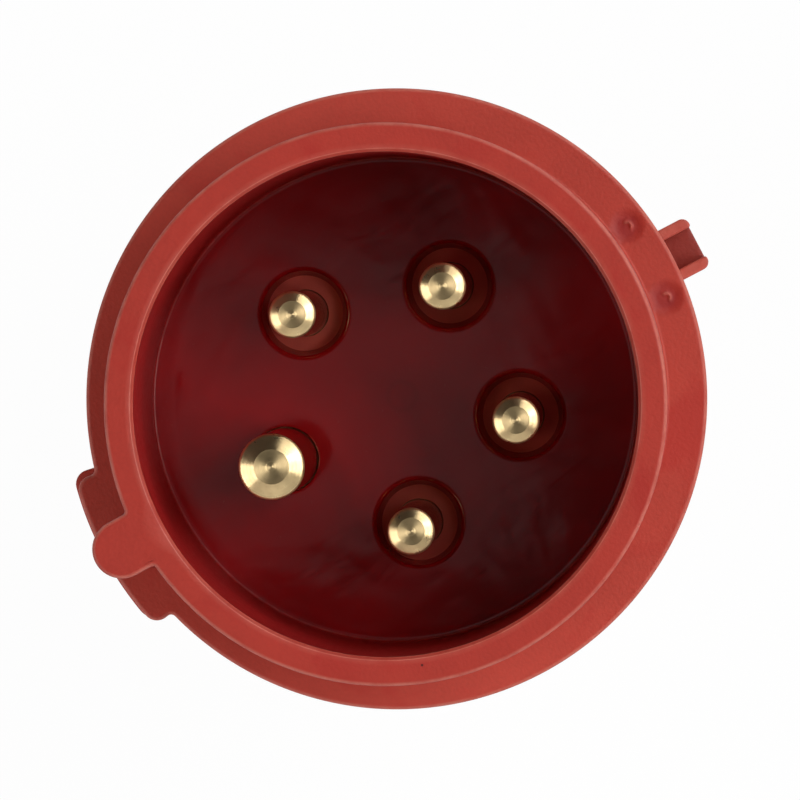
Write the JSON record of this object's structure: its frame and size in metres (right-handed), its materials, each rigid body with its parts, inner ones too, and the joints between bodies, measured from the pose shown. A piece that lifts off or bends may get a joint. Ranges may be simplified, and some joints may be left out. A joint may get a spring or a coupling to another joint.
{
  "type": "industrial pin and sleeve plug",
  "caption": "Round red industrial power plug with brass pins in a keyed shroud, a flanged rear housing, a catch for the connector's lid and a screwed cable gland.",
  "frame": {"origin": "on the plug's axis in the plane of the gland nut's end face", "axes": "+Z along the plug's axis out of its mouth, -Y through the key rib and the earth pin, +Y through the catch"},
  "size_m": [0.0682, 0.0741, 0.133],
  "materials": {
    "front_red": "fine spark-eroded texture, glossy inside the shroud",
    "block_red": "satin",
    "rear_red": "fine spark-eroded texture",
    "brass": "turned",
    "steel": "zinc plated",
    "black_rubber": "matte",
    "dark_plastic": "satin",
    "pale_plastic": "satin"
  },
  "bodies": {
    "plug": {"contact_carrier": "front_red", "terminal_block": "block_red", "pin_l1": "brass", "pin_l2": "brass", "pin_l3": "brass", "pin_neutral": "brass", "pin_earth": "brass", "terminal_screw_l1": "steel", "terminal_screw_l2": "steel", "terminal_screw_l3": "steel", "terminal_screw_neutral": "steel", "terminal_screw_earth": "steel", "contact_retainer": "pale_plastic", "retainer_screw": "steel", "housing_seal": "black_rubber", "locking_insert": "brass", "rear_housing": "rear_red", "locking_screw": "steel", "gland_clamp": "dark_plastic", "gland_seal": "black_rubber"},
    "washer": {"gland_washer": "steel"},
    "nut": {"gland_nut": "rear_red"}
  },
  "joints": [
    {"name": "gland_washer_slide", "type": "slide", "parent": "plug", "child": "washer", "axis": [0, 0, -1], "range_m": [0, 0.006]},
    {"name": "gland_nut_turn", "type": "hinge", "parent": "washer", "child": "nut", "pos_m": [0, 0, 0], "axis": [0, 0, -1], "range_deg": [0, 720]}
  ],
  "couplings": [
    {"joint": "gland_nut_turn", "follows": "gland_washer_slide", "rad_per_m": 2094.4}
  ]
}
